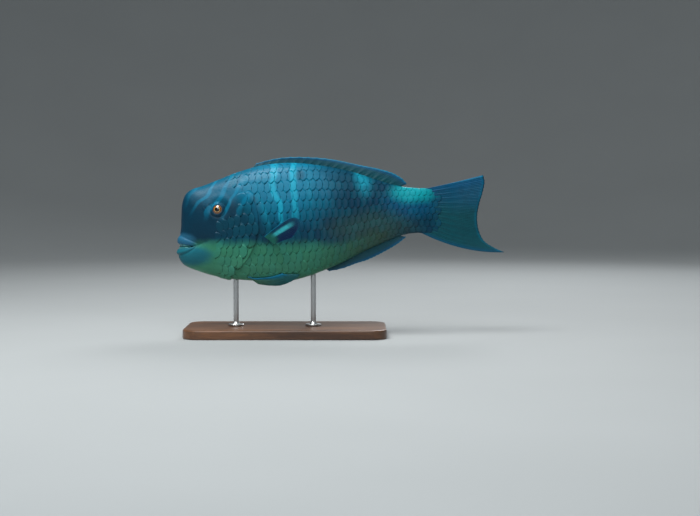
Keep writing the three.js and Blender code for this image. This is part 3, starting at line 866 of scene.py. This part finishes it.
def make_eyeball(name, side):
    bm = bmesh.new()
    bmesh.ops.create_uvsphere(bm, u_segments=64, v_segments=48, radius=EYE_RADIUS - 0.1)
    ring = bm.verts.layers.float.new("from_axis")
    turn = Vector((0, 0, 1)).rotation_difference(eye_out)
    for v in bm.verts:
        tilt = math.degrees(v.co.angle(Vector((0, 0, 1))))
        v[ring] = tilt
        v.co *= 1 + 0.035 * (1 - smooth_step(tilt, 12, 34))
        v.co = in_frame(mirror_side(eye_middle + turn @ v.co, side))
    return finish_mesh(name, bm)


def make_lid(name, side):
    across = eye_out.cross(Vector((0, 0, 1))).normalized()
    upward = across.cross(eye_out).normalized()
    profile = [(math.cos(k / LID_SIDES * 2 * math.pi), math.sin(k / LID_SIDES * 2 * math.pi))
               for k in range(LID_SIDES)]

    def place(i, j):
        turn = j % LID_ROUND / LID_ROUND * 2 * math.pi
        away = across * math.cos(turn) + upward * math.sin(turn) * 0.94
        out, rise = profile[i]
        radius = LID_MAJOR + out * (LID_MINOR if out < 0 else LID_MINOR * 2.1)
        base = eye_skin + away * radius
        s, angle = near_body(base.x, base.z)
        ground = skin_point(s, angle)
        level = (ground - eye_skin).dot(eye_out) * smooth_step(radius, 7.4, 12.5)
        level += 0.7 * (1 - smooth_step(radius, 7.4, 12.5))
        thick = LID_MINOR * (0.62 if out < 0 else lerp(0.62, 0.25, out))
        point = eye_skin + away * radius + eye_out * (level + rise * thick - 0.35 * max(out, 0))
        return in_frame(mirror_side(point, side))

    return make_tube(name, LID_SIDES, LID_ROUND, place)


def make_eye_finish():
    finish = Finish("fish_eye", Roughness=0.12, Coat_Weight=1.0, Coat_Roughness=0.03)
    tilt = finish.attribute("from_axis")
    fleck = finish.noise(900, 3, 0.6)
    iris = finish.mix(fleck.step(0.35, 0.7), (84, 44, 18), (150, 92, 36))
    iris = finish.mix(tilt.step(33, 46), iris, finish.mix(fleck, (20, 70, 84), (60, 130, 140)))
    ringed = finish.mix(tilt.step(19.5, 20.5) * (1 - tilt.step(22.5, 24)), iris, (196, 158, 78))
    tone = finish.mix(1 - tilt.step(18.5, 20), ringed, (3, 4, 6))
    return finish.feed(Base_Color=tone)


eye_finish = make_eye_finish()
for side_name, side_sign in SIDES:
    ball = make_eyeball(f"eyeball_{side_name}", side_sign)
    dress(ball, eye_finish, "eye", f"eye_{side_name}")
    dress(make_lid(f"eyelid_{side_name}", side_sign), skin_finish, "skin")

# %% [markdown]
# ## Dental plates
# The teeth of a parrotfish are fused into two plates, and only a strip of each shows between the
# lips. A bar bent round the front of the mouth has a cobbled face, a seam in the middle, and a
# cutting edge that meets the other plate's.

# %% Beak
BEAK_DEPTH, BEAK_SWEEP, BEAK_STEPS = 8, 1.36, 64
MOUTH_LENGTH, MOUTH_HALF_WIDTH = 27, 19


def mouth_point(angle, out, up):
    x = MOUTH_CORNER - (MOUTH_LENGTH + out) * math.cos(angle)
    return Vector((x, (MOUTH_HALF_WIDTH + out) * math.sin(angle), MOUTH_Z + up))


def make_beak(name, side):
    section = [(-BEAK_DEPTH, 0), (-3, 0), (-1.2, 0), (-0.6, 0.12), (-0.2, 0.35), (0.2, 0.6),
               (0.5, 0.85), (0.3, 1.1), (-3, 1.25), (-BEAK_DEPTH, 1.25)]

    def place(i, j):
        t = j / BEAK_STEPS * 2 - 1
        out, rise = section[i]
        tooth = abs(math.sin(j * 0.9)) * 0.35 if 2 < i < 7 else 0
        seam = 0.5 * math.exp(-((t * 30) ** 2)) if 2 < i < 8 else 0
        gape = GAPE * (1 - 0.8 * t * t)
        up = side * (0.15 + rise * (gape - 0.3))
        point = mouth_point(t * BEAK_SWEEP, out + tooth - seam - 2.2, up)
        if j in (0, BEAK_STEPS):
            point = mouth_point(t * BEAK_SWEEP, -BEAK_DEPTH / 2 - 2, up * 0.5)
        return in_frame(point)

    return make_tube(name, len(section), BEAK_STEPS, place)


def make_beak_finish():
    finish = Finish("dental_plate", Roughness=0.25, Coat_Weight=0.5, Coat_Roughness=0.1)
    inputs = {"Scale": 620.0, "Vector": finish.object}
    cells = finish.node("ShaderNodeTexVoronoi", {"feature": "F1"}, inputs, "Distance")
    worn = finish.noise(160, 3)
    tone = finish.mix(worn.step(0.35, 0.7), (36, 122, 130), (96, 170, 168))
    return finish.feed(Base_Color=tone, Normal=finish.bump(cells, 0.5, 0.0006))


beak_finish = make_beak_finish()
for beak_name, beak_side in (("upper", 1), ("lower", -1)):
    plate = make_beak(f"dental_plate_{beak_name}", beak_side)
    dress(plate, beak_finish, "beak", f"beak_{beak_name}")

# %% [markdown]
# ## Fins
# A fin is a thin membrane over bony rays. Each is a flat tube whose two faces follow one sheet in
# space: a ray is a rounded ridge on both faces, and a soft ray splits into branches half way out.
# The sheets start inside the body and end in a thin edge, a little notched between the rays.

# %% A fin
COLUMNS_PER_RAY = 6


def ray_ridge(u, v, rays, spines):
    """How much of a ray's ridge stands at a place of the fin."""
    position = u * (rays - 1)
    nearest = round(position)
    away = abs(position - nearest)
    if nearest < spines:
        return math.exp(-((away / 0.16) ** 2))
    fork = 0.24 * smooth_step(v, 0.4, 1)
    slim = lerp(0.17, 0.11, smooth_step(v, 0.3, 1))
    return max(math.exp(-(((away - fork) / slim) ** 2)), math.exp(-(((away + fork) / slim) ** 2)))


def make_fin(name, at, rays, rows, root, ridge, spines, notch, edge=0.5, flutter=0.0):
    columns = (rays - 1) * COLUMNS_PER_RAY
    step = 1e-3

    def sheet(u, v):
        ray = ray_ridge(u, 1, rays, spines)
        reach = v * (1 - notch * (1 - ray) * smooth_step(v, 0.6, 1))
        point = at(u, reach)
        point.y += flutter * v * v * math.sin(u * 9 + v * 2)
        return point

    def place(i, j):
        front = i <= columns
        k = i if front else 2 * columns + 1 - i
        u, v = k / columns, j / rows
        along_u = sheet(min(u + step, 1), v) - sheet(max(u - step, 0), v)
        along_v = sheet(u, min(v + step, 1)) - sheet(u, max(v - step, 0))
        normal = along_u.cross(along_v).normalized()
        crest = ridge * (1 - 0.55 * v) * ray_ridge(u, v, rays, spines) * smooth_step(v, 0, 0.16)
        half = 0 if j == rows else lerp(root, edge, v ** 0.6) / 2 + crest
        if k in (0, columns):
            half *= 0.8
        return in_frame(sheet(u, v) + normal * half * (1 if front else -1))

    bm = bmesh.new()
    over, out = bm.verts.layers.float.new("fin_over"), bm.verts.layers.float.new("fin_out")
    grid = add_tube(bm, 2 * columns + 2, rows, place)
    for (i, j), v in grid.items():
        k = i if i <= columns else max(2 * columns + 1 - i, 0)
        v[over], v[out] = k / columns, j / rows
    return finish_mesh(name, bm)


# %% Sheets of the unpaired fins
SUNK = 5
DORSAL_START, DORSAL_END = 112, 329
DORSAL_EDGE = Outline([
    (121, 88), (150, 95), (179, 97.5), (231, 94.5), (276, 85.5), (306, 79.5), (327, 73),
    (340, 65), (347, 57),
])
ANAL_START, ANAL_END = 222, 329
ANAL_EDGE = Outline([
    (230, -74), (250, -70), (272, -62), (287, -57.5), (313, -45), (333, -33), (346, -22.5),
])
TAIL_FOOT, TAIL_TOP, TAIL_LOW, BOW_TOP, BOW_LOW = 369, 49, -17, 1.4, 17
TAIL_EDGE = Outline([
    (462, 70.5), (464, 60), (461, 44), (456, 27), (453, 8), (455, -11), (463, -28), (477, -38),
    (495, -46),
])


def dorsal_at(u, v):
    x = lerp(DORSAL_START, DORSAL_END, u)
    foot = Vector((x, 0, station(x)[0].z - SUNK))
    return foot.lerp(DORSAL_EDGE.at(u), v)


def anal_at(u, v):
    x = lerp(ANAL_START, ANAL_END, u)
    foot = Vector((x, 0, station(x)[1].z + SUNK))
    return foot.lerp(ANAL_EDGE.at(u), v)


def tail_at(u, v):
    foot = Vector((TAIL_FOOT, 0, lerp(TAIL_TOP, TAIL_LOW, u)))
    tip = TAIL_EDGE.at(u)
    middle = foot.lerp(tip, 0.5)
    middle.z -= BOW_TOP * (1 - 2 * u) if u < 0.5 else BOW_LOW * (2 * u - 1)
    return foot * (1 - v) ** 2 + middle * (2 * v * (1 - v)) + tip * v * v


# %% Sheets of the paired fins
PECTORAL_TOP, PECTORAL_LOW, PECTORAL_CAMBER = (133, -22), (147, -33), 7
PECTORAL_LEAD, PECTORAL_TRAIL = Vector((0.42, -0.83, 0.37)), Vector((0.56, -0.76, 0.32))
PECTORAL_LAG = Vector((0.4, 0.35, -0.5))
pectoral_reach = smooth_through([(0, 88), (0.15, 98), (0.35, 99), (0.65, 82), (1, 46)])
PELVIC_OUTER, PELVIC_INNER, PELVIC_SPLAY, PELVIC_DROP = (103, -15), (113, -6.5), 13, 7
pelvic_reach = smooth_through([(0, 58), (0.25, 82), (0.6, 68), (1, 44)])


def flank_y(x, z):
    s, angle = near_body(x, z)
    return bare_body(s, angle).y


def pectoral_at(u, v):
    x, z = lerp(PECTORAL_TOP[0], PECTORAL_LOW[0], u), lerp(PECTORAL_TOP[1], PECTORAL_LOW[1], u)
    foot = Vector((x, -flank_y(x, z) + SUNK, z))
    heading = PECTORAL_LEAD.lerp(PECTORAL_TRAIL, u).normalized()
    lag = PECTORAL_LAG * PECTORAL_CAMBER * v * v
    return foot + heading * (pectoral_reach(u) + SUNK) * v + lag


def belly_skin(x, y):
    out = min(abs(y) / half_width(x), 1) ** (1 / FULLNESS)
    level, low = flank_level(x), station(x)[1].z
    return level - (level - low) * math.sqrt(1 - out * out) ** FULLNESS


def pelvic_at(u, v):
    x, y = lerp(PELVIC_OUTER[0], PELVIC_INNER[0], u), lerp(PELVIC_OUTER[1], PELVIC_INNER[1], u)
    x += pelvic_reach(u) * v
    y -= PELVIC_SPLAY * (1 - u) * v * 0.8 + 2 * v * u
    clear = lerp(-3.5, 2.2, min(v * 4, 1))
    clear += PELVIC_DROP * v * (0.35 + 0.65 * u) * (1 - 0.45 * v)
    return Vector((x, y, belly_skin(x, y) - clear))


def on_side(at, side):
    """The paired fins' sheets are those of the left side; the right ones are mirrored."""
    return lambda u, v: mirror_side(at(u, v), -side)


# %% Fin finishes
FIN_TEAL, FIN_BLUE, FIN_DARK = (0, 72, 82), (0, 80, 120), (0, 38, 54)
FIN_EDGE, FIN_PAINTED_SUNLIGHT, FIN_ROSE = (4, 124, 160), (80, 240, 255), (16, 76, 92)


def make_fin_finish(name, paint, rays):
    finish = Finish(name, Coat_Weight=0.08, Coat_Roughness=0.2, Specular_IOR_Level=0.2)
    over, out = finish.attribute("fin_over"), finish.attribute("fin_out")
    wobble = (finish.noise(45, 3) - 0.5) * 0.16
    tone = paint(finish, over, out, wobble)
    mottled = finish.mix(finish.noise(150, 4, 0.6).step(0.35, 0.75) * 0.25, tone, FIN_DARK)
    turn = (rays - 1) * 2 * math.pi
    single, double = ((over * turn * k).maths("COSINE", over * turn * k) for k in (2, 4))
    branch = single * (1 - out.step(0.3, 0.6)) + double * out.step(0.4, 0.7)
    mottled = finish.mix((branch * 0.5 + 0.5) * 0.3, mottled, finish.mix(0.5, mottled, FIN_DARK))
    joints = (out * 160).maths("SINE", out * 160)
    normal = finish.bump(branch * 0.9 + joints * 0.3 + finish.noise(700, 2) * 0.5, 0.35, 0.0003)
    rough = finish.noise(130, 2) * 0.2 + 0.28
    return finish.feed(Base_Color=mottled, Roughness=rough, Normal=normal)


def median_paint(finish, over, out, wobble):
    tone = finish.mix((out + wobble).step(0.3, 0.75), FIN_TEAL, FIN_ROSE)
    tone = finish.mix((out + wobble * 0.5).step(0.72, 0.82) * 0.8, tone, FIN_BLUE)
    return finish.mix(out.step(0.9, 0.97), tone, FIN_EDGE)


def tail_paint(finish, over, out, wobble):
    tone = finish.mix((over + wobble).step(0.15, 0.5), (0, 74, 104), FIN_TEAL)
    upper = 1 - (over + wobble * 0.4).step(0.03, 0.15)
    lower = (over + wobble * 0.4).step(0.88, 0.97)
    tone = finish.mix(upper * 0.9, tone, FIN_BLUE)
    tone = finish.mix(lower * 0.5, tone, FIN_BLUE)
    tone = finish.mix((1 - over.step(0.0, 0.035)) * out.step(0.2, 0.8) * 0.5, tone, FIN_EDGE)
    return finish.mix((out + wobble * 0.3).step(0.93, 0.985) * 0.3, tone, FIN_EDGE)


def pectoral_paint(finish, over, out, wobble):
    tone = finish.mix((over + wobble).step(0.3, 0.8), FIN_BLUE, (0, 50, 104))
    # Painted sunlight: a bright stripe across the fin where the sun catches it.
    place = over + wobble * 0.5 - 0.36
    distance_to_sun_stripe = place.maths("ABSOLUTE", place)
    painted_sun_stripe = (1 - distance_to_sun_stripe.step(0.06, 0.2)) * (1 - out.step(0.6, 0.92)) * out.step(0.12, 0.3)
    tone = finish.mix(painted_sun_stripe, tone, FIN_PAINTED_SUNLIGHT)
    root = 1 - (out + wobble).step(0.14, 0.34)
    tone = finish.mix(root * 0.7, tone, (60, 160, 130))
    tone = finish.mix(1 - over.step(0.0, 0.05), tone, FIN_EDGE)
    return finish.mix(out.step(0.9, 1) * 0.6, tone, FIN_EDGE)


def pelvic_paint(finish, over, out, wobble):
    tone = finish.mix((out + wobble).step(0.1, 0.8), (84, 140, 116), (40, 116, 122))
    return finish.mix(1 - (over + wobble * 0.5).step(0.02, 0.14), tone, FIN_EDGE)


# %% Make the fins
median_finish = make_fin_finish("median_fins", median_paint, 19)
dorsal = make_fin("dorsal_fin_sheet", dorsal_at, 19, 16, 2.4, 0.5, 9, 0.05, flutter=0.8)
dress(dorsal, median_finish, "fin", "dorsal_fin")
anal = make_fin("anal_fin_sheet", anal_at, 12, 16, 2.2, 0.5, 3, 0.05, flutter=0.6)
dress(anal, median_finish, "fin", "anal_fin")
tail = make_fin("tail_fin_sheet", tail_at, 14, 40, 1.7, 0.42, 0, 0.012, flutter=1.0)
dress(tail, make_fin_finish("tail_fin", tail_paint, 14), "fin", "caudal_fin")
pectoral_finish = make_fin_finish("pectoral_fins", pectoral_paint, 13)
pelvic_finish = make_fin_finish("pelvic_fins", pelvic_paint, 6)
for side_name, side_sign in SIDES:
    pectoral = make_fin(
        f"pectoral_fin_sheet_{side_name}", on_side(pectoral_at, side_sign), 13, 30, 2.2, 0.45, 1,
        0.03, 0.4, 0.5)
    dress(pectoral, pectoral_finish, "fin", f"pectoral_fin_{side_name}")
    pelvic = make_fin(
        f"pelvic_fin_sheet_{side_name}", on_side(pelvic_at, side_sign), 6, 24, 2.0, 0.6, 1, 0.04)
    dress(pelvic, pelvic_finish, "fin", f"pelvic_fin_{side_name}")

# %% [markdown]
# ## Stand finishes
# The stand's solids are right as they are. The base gets the long figure of oiled walnut and the
# rods the fine lengthwise lines of brushed steel.

# %% Wood and steel
def make_wood():
    finish = Finish("walnut", Roughness=0.45, Coat_Weight=0.25, Coat_Roughness=0.3)
    grain_place = finish.stretched(3, 26, 26)
    warp = finish.noise(1.6, 4, 0.6, grain_place, "Color")
    bent = finish.node("ShaderNodeVectorMath", {"operation": "ADD"}, {0: grain_place, 1: warp})
    rings = finish.noise(2.2, 6, 0.62, bent)
    fibres = finish.noise(9, 3, 0.7, finish.stretched(6, 160, 160))
    tone = finish.mix(rings.step(0.3, 0.7), (62, 38, 24), (118, 78, 48))
    tone = finish.mix(fibres.step(0.45, 0.7) * 0.5, tone, (40, 24, 15))
    rough = fibres * 0.25 + 0.3
    return finish.feed(Base_Color=tone, Roughness=rough, Normal=finish.bump(fibres, 0.25, 0.0004))


def make_steel():
    finish = Finish("brushed_steel", Metallic=1.0, Base_Color=(0.56, 0.57, 0.58, 1))
    lines = finish.noise(60, 3, 0.7, finish.stretched(30, 30, 0.6))
    return finish.feed(Roughness=lines * 0.3 + 0.2, Normal=finish.bump(lines, 0.08, 0.0002))


wood, steel = make_wood(), make_steel()
for node, material in (("stand_base", wood), ("stand_rod_front", steel), ("stand_rod_rear", steel)):
    bpy.data.objects[node].material_slots[0].material = material

# %% [markdown]
# ## Stage and camera
# The studio is plain: a round sheet of pale paper that curves up on every side, a broad soft light
# overhead as the sun lights the fish from above, a weaker one from the camera's side, and a rim
# from behind. The gloss is kept low, because a white sheen would wash out the deep colours.

# %% Floor and lights
SWEEP_FLOOR, SWEEP_BEND, SWEEP_LENGTH = 2.2, 2.2, 7.2
SWEEP_SIDES, SWEEP_ROWS = 96, 60
FISH_MIDDLE = Vector((0.05, 0, 0.17))


def make_sweep():
    """A round floor that curves up into a wall on every side."""
    def place(i, j):
        turn = i / SWEEP_SIDES * 2 * math.pi
        way = j / SWEEP_ROWS * SWEEP_LENGTH
        bend = min(max(way - SWEEP_FLOOR, 0) / SWEEP_BEND, math.pi / 2)
        above = max(way - SWEEP_FLOOR - SWEEP_BEND * math.pi / 2, 0)
        radius = min(way, SWEEP_FLOOR) + SWEEP_BEND * math.sin(bend)
        height = SWEEP_BEND * (1 - math.cos(bend)) + above
        return Vector((radius * math.cos(turn), radius * math.sin(turn), height))

    sweep = make_tube("sweep", SWEEP_SIDES, SWEEP_ROWS, place)
    finish = Finish("sweep_paper", Roughness=0.85)
    paper = finish.mix(finish.noise(3, 2), (152, 157, 159), (158, 163, 165))
    sweep.data.materials.append(finish.feed(Base_Color=paper))


def make_light(name, place, size, power, tint=(1, 1, 1)):
    light = bpy.data.lights.new(name, "AREA")
    light.shape, light.size, light.energy, light.color = "DISK", size, power, tint
    lamp = bpy.data.objects.new(name, light)
    lamp.location = place
    lamp.rotation_euler = (FISH_MIDDLE - Vector(place)).to_track_quat("-Z", "Y").to_euler()
    bpy.context.scene.collection.objects.link(lamp)


make_sweep()
make_light("sun_side", (-0.5, -0.5, 1.7), 1.1, 39, (1, 0.99, 0.97))
make_light("fill", (-0.1, -1.7, 1.45), 1.6, 20, (0.94, 0.98, 1))
make_light("rim", (0.6, 1.5, 1.3), 1.0, 18)
world = bpy.data.worlds.new("studio")
world.use_nodes = True
background = world.node_tree.nodes["Background"].inputs
background["Color"].default_value = (0.80, 0.84, 0.86, 1)
background["Strength"].default_value = 0.3
bpy.context.scene.world = world

# %% Camera
PHOTO_WIDTH, PHOTO_HEIGHT = 700, 516
MM_PER_PIXEL = 1.5
LIPS_PIXEL, LEVEL_PIXEL = 176, 222
CAMERA_DISTANCE, CAMERA_ELEVATION = 2.3, math.radians(3)


def make_camera():
    aim_x = (PHOTO_WIDTH / 2 - LIPS_PIXEL) * MM_PER_PIXEL - STAND_BEHIND_LIPS
    aim_z = SWIM_HEIGHT - (PHOTO_HEIGHT / 2 - LEVEL_PIXEL) * MM_PER_PIXEL
    aim = Vector((aim_x * MM, 0, aim_z * MM))
    back_off = Vector((0, -math.cos(CAMERA_ELEVATION), math.sin(CAMERA_ELEVATION)))
    lens = bpy.data.cameras.new("camera")
    lens.sensor_width = 36
    lens.lens = lens.sensor_width * CAMERA_DISTANCE / (PHOTO_WIDTH * MM_PER_PIXEL * MM)
    camera = bpy.data.objects.new("camera", lens)
    camera.location = aim + back_off * CAMERA_DISTANCE
    camera.rotation_euler = (-back_off).to_track_quat("-Z", "Y").to_euler()
    bpy.context.scene.collection.objects.link(camera)
    bpy.context.scene.camera = camera
    print("lens", round(lens.lens, 1), "mm")


make_camera()
bpy.context.scene.view_settings.view_transform = "Standard"
